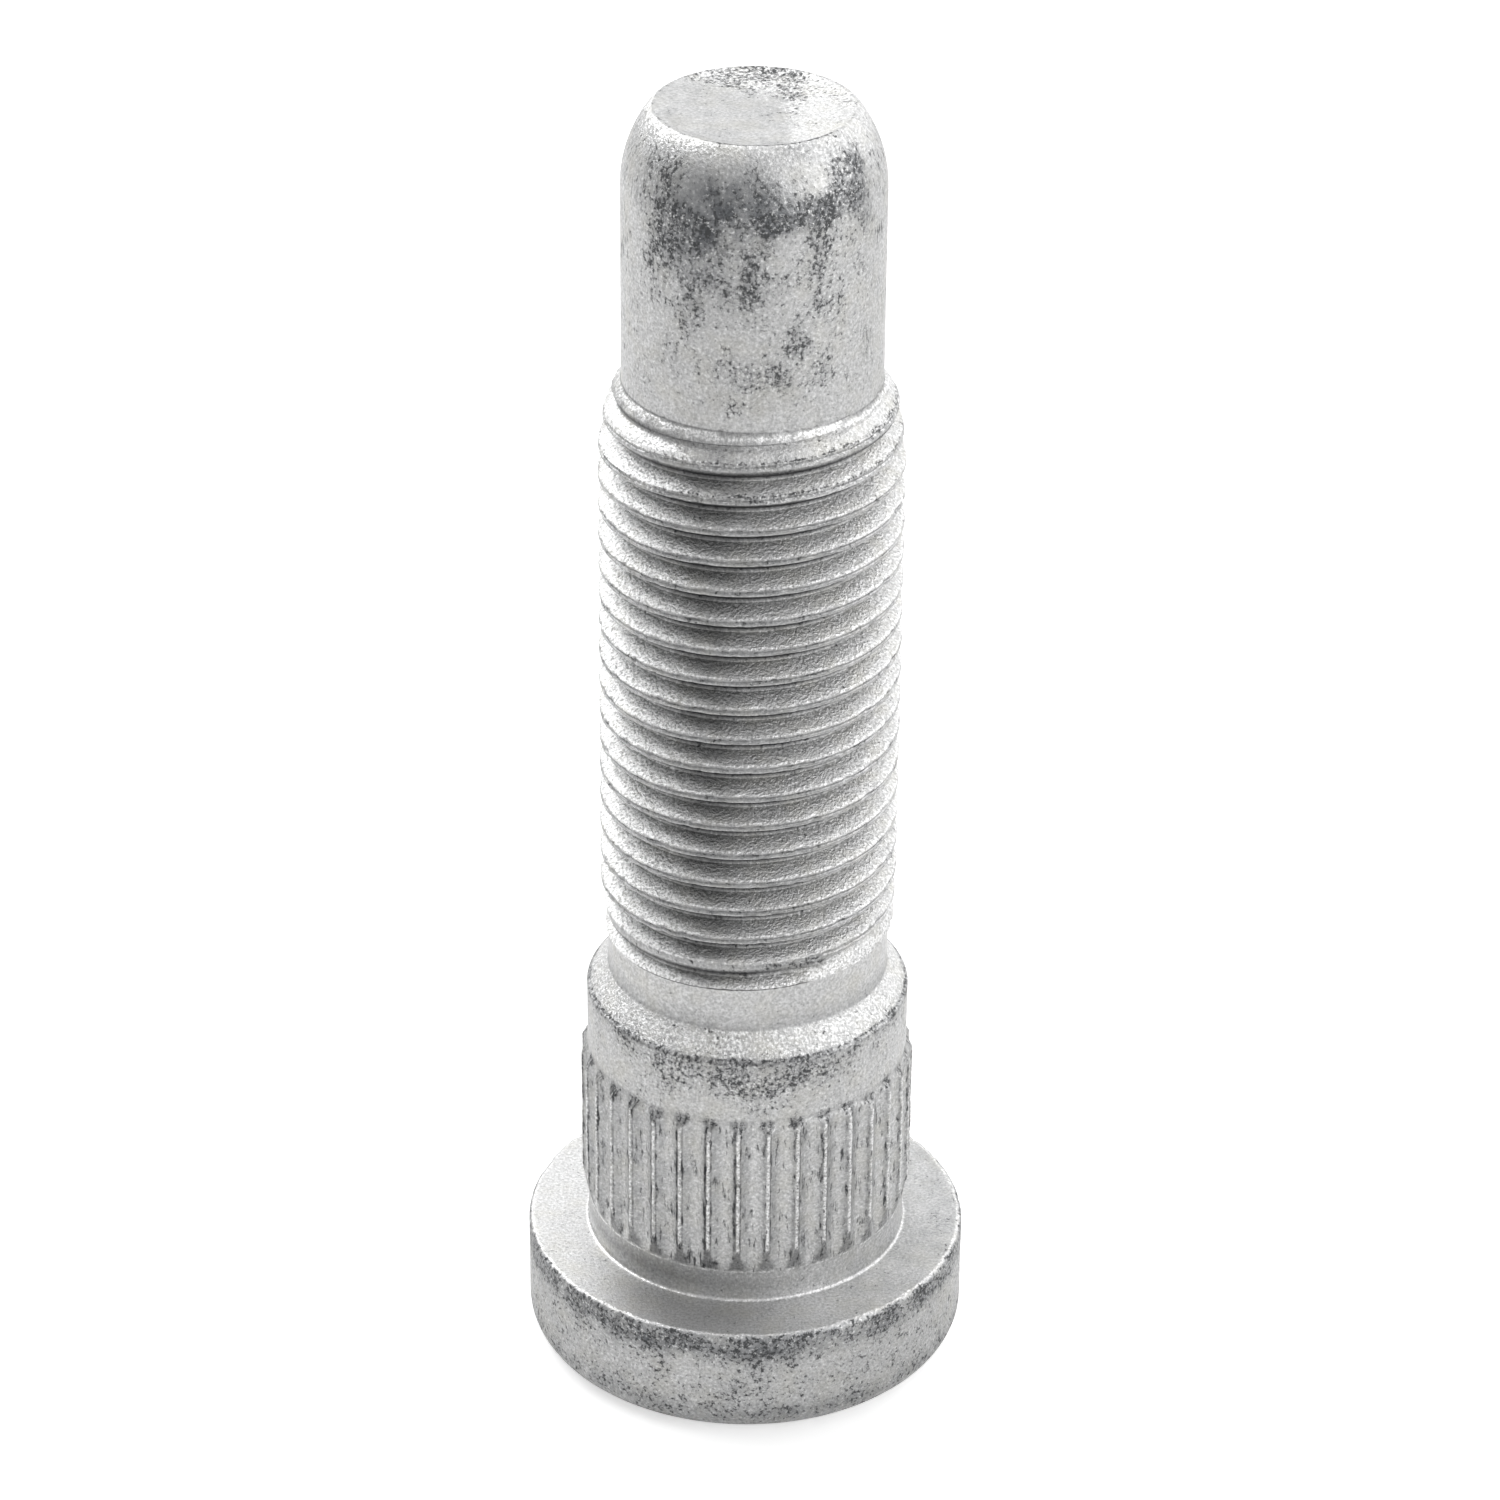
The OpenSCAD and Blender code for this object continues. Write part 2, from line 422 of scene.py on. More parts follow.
def build_thread(skin, sizes, lower, upper):
    """The threaded stretch, as spiral rows that follow the crest, joined to the rings below and above."""
    places = groove_places(sizes)
    rows, columns = len(places), THREAD_COLUMNS
    angles = even_angles(sizes)
    first_turn = (angles[0] - GROOVE_START_ANGLE) / FULL_TURN
    gap, corner_round = 0.05 * MM, 0.05 * MM
    low = skin.points[lower[0]][2] + gap
    high = skin.points[upper[0]][2] - gap
    made = {}

    def place(row, column):
        groove, j = divmod(row, rows)
        return groove_height(sizes, first_turn + groove + column / columns) + places[j]

    def vertex(row, column):
        if column == columns:
            row, column = row + rows, 0
        if (row, column) not in made:
            groove, j = divmod(row, rows)
            height = place(row, column)
            turns = first_turn + groove + column / columns
            wall, seam = groove_radius(sizes, places[j], turns)
            whole = sizes.thread_low + RUNOUT < height < sizes.thread_high - 1.6 * MM
            crests = with_lip(sizes, envelope(sizes, height), places[j], turns)
            radius = soft_min(crests, wall, corner_round) - (seam if whole else 0.0)
            made[(row, column)] = skin.point(angles[column], radius, height)
        return made[(row, column)]

    def lowest(column):
        row = -3 * rows
        while place(row, column) <= low:
            row += 1
        return row

    def highest(column):
        row = 60 * rows
        while place(row, column) >= high:
            row -= 1
        return row

    bottoms = [lowest(c) for c in range(columns)]
    tops = [highest(c) for c in range(columns)]
    bottoms.append(bottoms[0] - rows)
    tops.append(tops[0] - rows)
    for c in range(columns):
        for row in range(bottoms[c], tops[c + 1]):
            corners = ((row, c), (row, c + 1), (row + 1, c + 1), (row + 1, c))
            skin.faces.append(tuple(vertex(*place_of) for place_of in corners))
        here, beside = lower[c], lower[(c + 1) % columns]
        corner = vertex(bottoms[c], c)
        skin.faces.append((here, beside, corner))
        rim = [beside] + [vertex(row, c + 1) for row in range(bottoms[c + 1], bottoms[c] + 1)]
        skin.faces += [(corner, a, b) for a, b in zip(rim[:-1], rim[1:])]
        here, beside = upper[c], upper[(c + 1) % columns]
        corner = vertex(tops[c + 1], c + 1)
        skin.faces.append((here, corner, beside))
        rim = [here] + [vertex(row, c) for row in range(tops[c], tops[c + 1] - 1, -1)]
        skin.faces += [(corner, a, b) for a, b in zip(rim[:-1], rim[1:])]


def head_rings(skin, sizes):
    """The head, from the middle of its base to the foot of the collar."""
    head_r, foot_r = sizes.head_diameter / 2, sizes.guide_diameter / 2
    base_round, top_round = sizes.head_base_round, TOP_ROUND_SHARE * sizes.head_top_round
    inner = skin.ring(even_angles(sizes, 60), head_r * 0.3, 0.0)
    skin.cap(inner, 0.0, upward=False)
    outline = [(head_r * 0.55, 0.0), (head_r - base_round - 0.4 * MM, 0.0)]
    outline += arc(head_r - base_round, base_round, base_round, -90, 0, 7)
    wall_high = sizes.head_height - top_round
    outline += [(head_r, z) for z in spaced(base_round, wall_high, 6)[:-1]]
    outline += arc(head_r - top_round, wall_high, top_round, 0, 90, 6)
    flat_in, flat_out = foot_r + FOOT_ROUND, head_r - top_round
    outline += [(flat_out - 0.07 * MM, sizes.head_height), (flat_out - 0.3 * MM, sizes.head_height)]
    outline += [((flat_in + flat_out) / 2, sizes.head_height), (flat_in + 0.05 * MM, sizes.head_height)]
    outline += arc(flat_in, sizes.head_height + FOOT_ROUND, FOOT_ROUND, -90, -180, 5)
    return skin.section(shank_angles(sizes), outline, inner)


def spline_rings(skin, sizes, below):
    """The collar and the rolled ridges."""
    slope_top, ramp_low = sizes.ridge_low + 1.5 * MM, sizes.ridge_high - 1.1 * MM
    heights = [sizes.head_height + 0.9 * MM, sizes.ridge_low - 0.05 * MM]
    heights += spaced(sizes.ridge_low - 0.05 * MM, slope_top, 14)
    heights += spaced(slope_top, ramp_low, 12)
    heights += spaced(ramp_low, sizes.ridge_high + 0.15 * MM, 11)
    for height in heights:
        ring = skin.ring(shank_angles(sizes), lambda a, z=height: splined_radius(sizes, a, z), height)
        skin.band(below, ring)
        below = ring
    return below


def guide_rings(skin, sizes, below):
    """The plain guide band, its broken edge, the cone and the lower part of the neck."""
    guide, neck, edge = sizes.guide_diameter / 2, sizes.neck_diameter / 2, GUIDE_EDGE
    top, foot = sizes.cone_low, sizes.cone_high
    outline = [(guide, z) for z in spaced(sizes.ridge_high + 0.15 * MM, top - edge - 0.12 * MM, 6)]
    outline += [(guide, top - edge), (guide - 0.05 * MM, top - edge * 0.45), (guide - edge, top)]
    outline += [(guide - edge + (neck - guide + edge) * share, top + (foot - top) * share)
                for share in (0.08, 0.35, 0.65)]
    outline += [(neck + 0.06 * MM, foot - 0.06 * MM), (neck + 0.01 * MM, foot + 0.04 * MM)]
    below = skin.section(shank_angles(sizes), outline, below)
    return skin.section(even_angles(sizes), [(neck, foot + 0.3 * MM), (neck, foot + 1.0 * MM)], below)


def end_dip(x, y):
    """How far the cropped end dips below its rim: two shallow facets that meet in a crease."""
    rim, depth, soft = 4.4 * MM, 0.2 * MM, 0.3 * MM
    crease_x = 1.7 * MM - 0.07 * y
    if x < crease_x:
        dip = depth * (x + rim) / (crease_x + rim)
    else:
        dip = depth * (rim - x) / (rim - crease_x)
    return max(0.0, dip) * smooth_step(rim - math.hypot(x, y), 0.0, soft)


def pilot_rings(skin, sizes, below):
    """The pilot, its domed shoulder and the cropped end."""
    radius, dome, tip, crop = sizes.pilot_diameter / 2, sizes.dome_low, sizes.tip_high, tip_reach(sizes)
    tip_angle = math.degrees(math.asin((tip - dome) / radius))
    foot = sizes.thread_high - PILOT_FOOT_DROP
    outline = [(radius, z) for z in [foot, foot + 0.3 * MM] + spaced(foot + 0.3 * MM, dome, 10)]
    outline += arc(0.0, dome, radius, 0, tip_angle - 1.5, 14)[1:]
    outline += [(crop - 0.03 * MM, tip - 0.02 * MM), (crop - 0.12 * MM, tip)]
    below = skin.section(even_angles(sizes), outline, below)
    for share, count in END_RINGS:
        reach = crop * share
        ring = skin.ring(even_angles(sizes, count), reach,
                         lambda a, r=reach: tip - end_dip(r * math.cos(a), r * math.sin(a)))
        skin.band(below, ring)
        below = ring
    skin.cap(below, tip - end_dip(0.0, 0.0), upward=True)


def worn(sizes, point):
    """Moves a point inward by the small dents and unevenness of forged and tumbled metal."""
    x, y, z = point
    reach = math.hypot(x, y)
    if reach < 0.4 * MM or z < 0.2 * MM:
        return point
    lump, small_lump, nick, crest_dent, ridge_dent, edge_dent = (
        depth * MM for depth in (0.010, 0.007, 0.13, 0.08, 0.04, 0.06))
    dent = lump * (1 + rough(point, 2.2 * MM)) / 2
    dent += small_lump * (1 + rough(point, 0.6 * MM, "small lumps")) / 2
    # One nick in the edge between the guide band and its cone, a little left of the front
    if abs(z - sizes.cone_low) < 1.0 * MM:
        beside = reach * (math.atan2(y, x) - FRONT + math.radians(2.2)) / 1.5
        off = math.hypot(beside, z - sizes.cone_low - 0.02 * MM)
        dent += nick * (1 - smooth_step(off, 0.1 * MM, 0.55 * MM))
    # Crests and ridge tips have small flats where studs have knocked together
    if sizes.thread_low < z < sizes.thread_high and reach > envelope(sizes, z) - 0.06 * MM:
        dent += crest_dent * smooth_step(rough(point, 0.45 * MM, "crest dents"), 0.05, 0.6)
    if sizes.ridge_low < z < sizes.ridge_high and reach > sizes.guide_diameter / 2 + 0.12 * MM:
        dent += ridge_dent * smooth_step(rough((x, y, z * 0.6), 0.6 * MM, "ridge dents"), 0.1, 0.6)
    # The outer edge of the seat is ragged
    if abs(z - sizes.head_height) < 0.3 * MM and reach > sizes.head_diameter / 2 - 0.6 * MM:
        dent += edge_dent * smooth_step(rough(point, 0.5 * MM, "ragged edges"), 0.0, 0.6)
    share = (reach - dent) / reach
    return (x * share, y * share, z)


# What is painted on the points: flecks of rubbed coating with some painted shade, soft bloom with some
# painted shade, bare worn metal with some painted highlights, drawing lines, sandy grain, and painted shade
# as a dark film
PAINT = ("flecks_and_shade", "bloom_and_shade", "wear_and_highlight", "drawn", "sandy", "painted_shade")


def paint(flecks_and_shade=0.0, bloom_and_shade=0.0, wear_and_highlight=0.0, drawn=0.0, sandy=0.0, painted_shade=0.0):
    """The amounts of paint at one point, in the order of PAINT."""
    return flecks_and_shade, bloom_and_shade, wear_and_highlight, drawn, sandy, painted_shade


# Rubbed and dull places: direction in degrees to the right of the front, height, half width and half height
# in mm, then how many flecks and how much bloom. They lie on the pilot, then the plain band, then the head.
MARKS = (
    (-12, 61.5, 3.0, 1.6, 0.2, 0.85),
    (-20, 60.2, 3.2, 1.0, 0.3, 0.4),
    (16, 60.9, 2.4, 0.9, 0.35, 0.5),
    (-30, 58.9, 2.0, 1.4, 0.3, 0.4),
    (-10, 57.9, 2.6, 2.0, 0.15, 0.2),
    (46, 62.2, 1.6, 1.7, 0.85, 0.45),
    (33, 60.9, 2.0, 1.0, 0.7, 0.35),
    (-48, 61.9, 1.3, 1.9, 0.7, 0.3),
    (-38, 60.3, 0.8, 1.0, 0.6, 0.25),
    (-12, 60.5, 2.4, 0.5, 0.6, 0.5),
    (3, 60.5, 1.4, 0.6, 0.5, 0.5),
    (8, 62.3, 1.0, 1.0, 0.6, 0.3),
    (-43, 58.6, 0.9, 1.6, 0.55, 0.2),
    (-22, 58.9, 1.2, 1.2, 0.45, 0.4),
    (1, 58.4, 0.7, 1.3, 0.6, 0.2),
    (-1, 56.9, 0.7, 0.7, 0.8, 0.3),
    (28, 58.5, 0.8, 1.6, 0.6, 0.2),
    (-27, 56.5, 1.0, 1.2, 0.5, 0.25),
    (33, 56.1, 0.9, 0.7, 1.0, 0.2),
    (19, 55.0, 0.9, 1.1, 1.0, 0.3),
    (-12, 54.1, 0.9, 0.8, 1.0, 0.1),
    (-6, 53.4, 0.8, 0.5, 0.9, 0.1),
    (4, 53.2, 1.5, 1.0, 1.0, 0.25),
    (29, 53.2, 0.9, 1.0, 1.1, 0.2),
    (-39, 54.0, 0.8, 1.0, 0.3, 0.15),
    (58, 54.0, 0.5, 1.0, 0.9, 0.1),
    (-8, 51.9, 0.6, 0.4, 0.9, 0.0),
    (54, 61.2, 0.8, 2.0, 0.35, 0.45),
    (-27, 18.1, 1.5, 1.2, 0.8, 0.15),
    (-2, 17.9, 1.9, 0.9, 0.9, 0.2),
    (13, 17.6, 1.6, 0.5, 0.7, 0.1),
    (24, 18.4, 1.5, 0.5, 0.6, 0.1),
    (-48, 18.6, 0.9, 0.6, 0.5, 0.1),
    (5, 16.7, 1.2, 0.25, 0.6, 0.0),
    (-25, 4.7, 4.5, 0.6, 0.35, 0.35),
    (5, 4.6, 3.0, 0.7, 0.3, 0.3),
    (-7, 2.2, 1.0, 0.3, 0.7, 0.3),
    (-4, 3.0, 1.4, 0.5, 0.3, 0.2),
    (30, 2.6, 0.9, 0.6, 0.3, 0.15),
    (-40, 1.7, 2.4, 0.35, 0.5, 0.3),
    (12, 1.5, 2.6, 0.3, 0.5, 0.35),
)


def marked(reach, turn, z):
    """Flecks and bloom that the marks near a place add up to there."""
    flecks_and_shade = bloom_and_shade = 0.0
    for direction, height, wide, high, more_flecks, more_bloom in MARKS:
        across = math.radians(turn - direction) * reach / (wide * MM)
        along = (z - height * MM) / (high * MM)
        share = 1 - smooth_step(math.hypot(across, along), 0.3, 1.35)
        flecks_and_shade += share * more_flecks
        bloom_and_shade += share * more_bloom
    return min(flecks_and_shade, 1.0), min(bloom_and_shade, 1.0)


def head_paint(sizes, reach, turn, z, drift):
    """Mottled side, a dark band under the upper edge, a thin bright ragged edge, and a clean seat with
    painted shade towards the right and a painted highlight in its inner corner.
    """
    seat_in = sizes.guide_diameter / 2 + FOOT_ROUND
    seat_out = sizes.head_diameter / 2 - TOP_ROUND_SHARE * sizes.head_top_round
    if z > sizes.head_height - 0.01 * MM and reach < seat_out - 0.05 * MM:
        # Painted shade darkens the seat towards the right, and a painted highlight lies in its inner corner,
        # stronger on the left
        corner = within(reach, seat_in - 0.12 * MM, seat_in - 0.02 * MM, 0.03 * MM)
        left = 1 - 0.6 * smooth_step(turn, 0, 50)
        return paint(bloom_and_shade=0.1 + 0.24 * smooth_step(turn, 15, 60), wear_and_highlight=0.34 * corner * left, sandy=0.05)
    more_flecks, more_bloom = marked(reach, turn, z)
    below = sizes.head_height - z
    band = within(below, 0.03 * MM, 1.25 * MM + drift * 0.3, 0.05 * MM + 0.3 * below)
    edge = within(reach, seat_out - 0.02 * MM, seat_out + 0.08 * MM, 0.04 * MM)
    edge *= 1 - smooth_step(below, 0.01 * MM, 0.05 * MM)
    line = within(z, sizes.head_base_round - 0.35 * MM, sizes.head_base_round + 0.1 * MM, 0.15 * MM)
    flecks_and_shade = max(0.35 + 0.5 * more_flecks, 0.75 * band + 0.2 * more_flecks, 0.6 * line)
    bloom_and_shade = 0.12 + 0.5 * band + 0.3 * line + 0.6 * more_bloom
    broken = 0.5 + 0.9 * rough((reach * math.radians(turn), 0, 0), 0.5 * MM, "broken edge")
    return paint(flecks_and_shade=flecks_and_shade * (1 - edge), bloom_and_shade=bloom_and_shade * (1 - edge), wear_and_highlight=0.7 * edge * broken, sandy=0.5)


def ridge_end_paint(sizes, z, across, room, rise, left_side):
    """Small pits round the upper ends of the ridges, darkened with painted shade, and facets at their lower
    ends in painted shade that is darker on the left.
    """
    if z > sizes.ridge_low + 2 * MM:
        # Painted shade in small pits round the ridges' upper ends
        pit = within(abs(across), 0.0, 0.35 * MM, 0.15 * MM) * within(room, -0.15 * MM, 0.3 * MM, 0.1 * MM)
        return paint(flecks_and_shade=0.6 * pit + 0.25, bloom_and_shade=0.12 + 0.25 * pit, drawn=0.3, sandy=0.4,
                     painted_shade=0.08 + 0.22 * pit)
    foot = within(room, -0.02 * MM, 0.03 * MM, 0.02 * MM) * smooth_step(rise, 0.06 * MM, 0.12 * MM)
    # The facets at the ridges' lower ends carry painted shade, darker on the left
    facet = smooth_step(room, 0.01 * MM, 0.06 * MM)
    return paint(flecks_and_shade=0.45 * facet, bloom_and_shade=0.3 * facet, wear_and_highlight=0.6 * foot, drawn=0.8, sandy=0.4,
                 painted_shade=(0.38 + 0.14 * left_side) * facet)


def spline_paint(sizes, turn, z, angle):
    """Bright narrow tips, partly wear and partly a painted highlight that is dimmer on the left, between dark
    lines of painted shade, and valleys with painted shade beside each ridge.
    """
    step = FULL_TURN / sizes.ridge_count
    number, share = nearest_ridge(sizes, angle)
    across = share * step * sizes.guide_diameter / 2
    room, rise = end_room(sizes, number, z), ridge_rise(sizes, share)
    left_side = within(turn, -62, 0, 8)
    if room < rise - 0.01 * MM:
        return ridge_end_paint(sizes, z, across, room, rise, left_side)
    broken = 0.7 + 1.0 * rough((number * 2.3 * MM, 0, z), 0.4 * MM, "broken tips")
    broken = min(1.0, max(0.2, broken))
    # The tip's bright line: partly wear, partly a painted highlight, dimmer on the left
    tip = (1 - smooth_step(abs(across), 0.05 * MM, 0.1 * MM)) * (0.5 - 0.15 * left_side * broken)
    # Painted shade: dark lines beside each tip, stronger on the left, and softer shade across the valleys
    dark_left = within(-across, 0.09 * MM, 0.24 * MM, 0.03 * MM) * (0.4 + 0.6 * left_side) * broken
    dark_right = within(across, 0.09 * MM, 0.15 * MM, 0.03 * MM) * 0.55
    dark = max(dark_left, dark_right)
    shade_right = within(across, 0.1 * MM, 0.5 * MM, 0.15 * MM)
    shade_left = within(-across, 0.1 * MM, 0.3 * MM, 0.1 * MM)
    shade = max(0.36 * shade_right, 0.25 * shade_left)
    return paint(flecks_and_shade=0.33 + 0.8 * dark, bloom_and_shade=0.03 + max(shade, 0.5 * dark), wear_and_highlight=tip, drawn=0.9,
                 sandy=0.25, painted_shade=0.75 * dark)


def thread_paint(sizes, reach, turn, z, angle):
    """Painted shade in the groove, sandy flanks with painted highlights on the left, and a bright speckled
    line along each crest's upper edge.
    """
    across, turns = nearest_groove(sizes, angle, z)
    edge = crest_edge(sizes)
    along = reach * math.radians(turn)
    patchy = min(1.0, max(0.0, 0.5 + 1.2 * rough((along, 0, z), 0.9 * MM, "patchy crests")))
    whole = smooth_step(z, sizes.thread_low + 0.4 * MM, sizes.thread_low + 2.2 * MM)
    lead_in = smooth_step(z, sizes.thread_high - 5.5 * MM, sizes.thread_high - 3.5 * MM)
    behind = smooth_step(abs(turn), 80, 110)
    # Under its lip the thread gives way to the smooth neck
    begun = smooth_step(turns, 0.2, 0.45)
    if across < LIP_PLACE:
        begun = smooth_step(turns, 1.15, 1.3)
    lip_here = within(turns, LIP_FROM, LIP_TO, 0.05)
    # A thin dark line of painted shadow under the lip
    under_lip = within(across, -0.64 * MM, -0.55 * MM, 0.01 * MM) * lip_here * (0.75 + 0.25 * patchy)
    lip = within(across, -0.51 * MM, -0.35 * MM, 0.02 * MM) * lip_here
    # The crest: a bright line on its upper edge, a broken dark line beside it, and a seam along its middle
    line = within(across, -edge - 0.01 * MM, -edge + 0.05 * MM, 0.03 * MM) * whole
    dark_edge = within(across, -edge - 0.08 * MM, -edge - 0.04 * MM, 0.015 * MM) * whole * patchy
    crest = smooth_step(abs(across), edge, edge + 0.04 * MM) * whole
    seam = smooth_step(abs(across), sizes.pitch / 2 - 0.05 * MM, sizes.pitch / 2 - 0.01 * MM) * whole
    # The groove: painted shade as a crisp dark root, and a painted shadow with a ragged edge up the flank, to
    # the left of the front
    cut = envelope(sizes, z) - sizes.thread_diameter / 2 + groove_depth(sizes)
    deep = smooth_step(turns, 0.45, 0.6) * (1 - within(turns, 0.8, 1.2, 0.06))
    deep *= smooth_step(cut, 0.06 * MM, 0.4 * MM)
    root = within(across, -0.02 * MM, 0.45 * MM, 0.05 * MM) * deep
    away = max(smooth_step(-turn, 12, 42), smooth_step(turn, 0, 28))
    ragged = 0.14 * MM * rough((along, 0, 0.3 * z), 0.3 * MM, "oil edge")
    reached = (-0.6 + 0.5 * away) * MM + ragged
    flank = smooth_step(across, reached, reached + 0.3 * MM) * deep
    flank *= 1 - smooth_step(across, 0.45 * MM, 0.6 * MM)
    # Painted shade: the flank's shadow is darkest left of the front, and the crests are darker towards the
    # front
    front = 1 - 0.85 * smooth_step(abs(turn + 24), 8, 26)
    front_crest = 1 - 0.6 * smooth_step(abs(turn + 5), 20, 50)
    painted_shade = max((0.85 - 0.3 * behind) * root, 0.42 * flank * front, 0.28 * crest * front_crest)
    # Painted highlights: the flanks sparkle on the left, and a little on the right
    left_sparkle = within(across, -0.6 * MM, -0.12 * MM, 0.05 * MM) * smooth_step(-turn, 12, 34)
    left_sparkle *= 1 - behind
    right_sparkle = within(across, -0.6 * MM, -0.2 * MM, 0.05 * MM) * smooth_step(turn, 20, 50)
    sparkle = max(0.6 * left_sparkle, 0.18 * right_sparkle) * (1 - flank)
    # The first crests are torn, and the last one is scratched and ends in a bright sandy band on the right
    torn = lead_in * within(across, -edge - 0.02 * MM, -edge + 0.1 * MM, 0.05 * MM)
    scratched = within(z, sizes.thread_low + 0.95 * MM, sizes.thread_low + 1.5 * MM, 0.15 * MM)
    scratched *= within(turn, 2, 38, 10)
    band = within(across, -0.5 * MM, 0.2 * MM, 0.1 * MM) * within(turns, 0.8, 1.1, 0.05)
    flecks_and_shade = max(0.15, 0.3 * crest, 0.45 * seam * patchy, 0.9 * dark_edge, 0.45 * root, 0.8 * scratched, torn)
    flecks_and_shade *= begun * (1 - 0.7 * line * (1 - lead_in)) * (1 - 0.6 * band)
    # Painted shade on the first crests' flanks, left of the front
    first_crests = lead_in * within(turn, -50, 15, 15) * (1 - flank)
    bloom_and_shade = 0.3 * max(crest, root, scratched, first_crests)
    bare_and_highlight = max(0.6 * line * (1 - lead_in) + 0.25 * crest * lead_in, sparkle, 0.5 * lip, 0.5 * band)
    return paint(flecks_and_shade=max(flecks_and_shade, 0.8 * under_lip), bloom_and_shade=begun * bloom_and_shade, wear_and_highlight=bare_and_highlight * begun, drawn=0.3,
                 sandy=0.05 + begun * (0.95 - 0.4 * crest),
                 painted_shade=max(begun * painted_shade, 0.5 * dark_edge, 0.85 * under_lip))


def tip_end_paint(sizes, x, y, reach, turn):
    """The cropped end: smooth and darkened by painted shade on the left, sandy and brighter right of the
    crease with a painted highlight, torn behind, and with a dark line of painted shadow along the front of
    its rim.
    """
    crop = tip_reach(sizes)
    across_crease = x - 0.07 * y
    right = smooth_step(across_crease, 1.55 * MM, 1.85 * MM)
    torn = smooth_step(y + 0.4 * x, 0.8 * MM, 2.6 * MM) * (1 - 0.5 * right)
    crease = within(across_crease, 1.3 * MM, 2.0 * MM, 0.3 * MM) * smooth_step(y, -2.5 * MM, 0.5 * MM)
    # A dark line of painted shadow along the rim, strongest at the front
    rim = within(reach, crop - 0.2 * MM, crop, 0.05 * MM) * (0.4 + 0.6 * within(turn, -25, 50, 8))
    rubbed = max(torn, crease)
    # Painted shade on the left of the crease, and a painted highlight on the right
    return paint(flecks_and_shade=max(0.9 * torn, 0.8 * crease, 1.2 * rim), bloom_and_shade=0.27 - 0.22 * right,
                 wear_and_highlight=(0.2 * right * (1 - crease) + 0.15 * rubbed) * (1 - rim), painted_shade=0.35 * rim,
                 sandy=0.1 + 0.9 * max(rubbed, 0.6 * right))


def pilot_paint(sizes, x, y, reach, turn, z, drift):
    """Dark under the shoulder, mottled and drawn further down, with bright worn metal at the tip's rim that a
    painted highlight makes brighter on the left, and a thin line of painted shade at the pilot's foot.
    """
    crop = tip_reach(sizes)
    if z > sizes.tip_high - 0.35 * MM and reach < crop - 0.08 * MM:
        return tip_end_paint(sizes, x, y, reach, turn)
    ragged = 0.6 + 0.8 * rough((x, y, 0), 0.6 * MM, "ragged rim")
    rim = within(reach, crop - 0.08 * MM, crop + 0.3 * MM, 0.1 * MM) * ragged
    # The rim is worn metal, with a painted highlight that makes it brighter on the left
    rim *= smooth_step(z, sizes.dome_low, sizes.tip_high) * (0.35 + 0.65 * smooth_step(-turn, 15, 40))
    under_rim = smooth_step(z, sizes.tip_high - 1.1 * MM, sizes.tip_high - 0.3 * MM)
    bright = within(turn, 5, 34, 10) * within(z, sizes.dome_low + 1.9 * MM, sizes.tip_high, 0.6 * MM)
    upper = smooth_step(z, sizes.thread_high + 1.0 * MM + drift, sizes.dome_low - 0.5 * MM)
    side = smooth_step(abs(turn), 50, 70) * (1 - smooth_step(abs(turn), 105, 130))
    back = smooth_step(abs(turn), 75, 110)
    more_flecks, more_bloom = marked(reach, turn, z)
    flecks_and_shade = (0.28 + 0.15 * upper + 0.25 * back + 0.5 * more_flecks) * (1 - 0.4 * side)
    flecks_and_shade = flecks_and_shade * (1 - 0.4 * under_rim) * (1 - 0.6 * bright)
    bloom_and_shade = (0.85 * more_bloom + 0.25 * upper * back) * (1 - bright) * (1 - 0.5 * under_rim)
    bloom_and_shade += 0.09 + 0.24 * bright
    lead = 1 - smooth_step(z, sizes.thread_high - 0.5 * MM, sizes.thread_high + 0.3 * MM)
    cone_high = sizes.thread_high - CONE_END_DROP
    cone = 1 - smooth_step(z, cone_high - 0.03 * MM, cone_high - 0.01 * MM)
    # A thin line of painted shade in the corner at the pilot's foot
    foot = within(z, cone_high - 0.01 * MM, cone_high + 0.01 * MM, 0.01 * MM)
    bare_and_highlight = max(0.7 * rim, 0.1 * under_rim, 0.5 * cone)
    return paint(flecks_and_shade=flecks_and_shade * (1 - lead), bloom_and_shade=bloom_and_shade, wear_and_highlight=bare_and_highlight, drawn=0.25 + 0.75 * side,
                 sandy=max(0.3 + 0.5 * under_rim, 0.5 * cone), painted_shade=0.5 * foot)


def collar_paint(sizes, turn, z):
    """The smooth collar, with painted shade on the left and in its corner, and a painted highlight as a
    bright line under the ridges.
    """
    # A painted highlight along the collar's upper edge under the ridges
    foot = smooth_step(z, sizes.ridge_low - 0.3 * MM, sizes.ridge_low)
    # Painted shade: darker in the corner by the seat, and on the left
    corner = 1 - smooth_step(z, sizes.head_height + 0.1 * MM, sizes.head_height + 1.5 * MM)
    left = 1 - smooth_step(turn, -35, 35)
    return paint(flecks_and_shade=0.05, bloom_and_shade=0.15, wear_and_highlight=0.2 * foot, drawn=0.2, sandy=0.1,
                 painted_shade=0.05 + 0.12 * corner + left * (0.24 + 0.28 * corner))


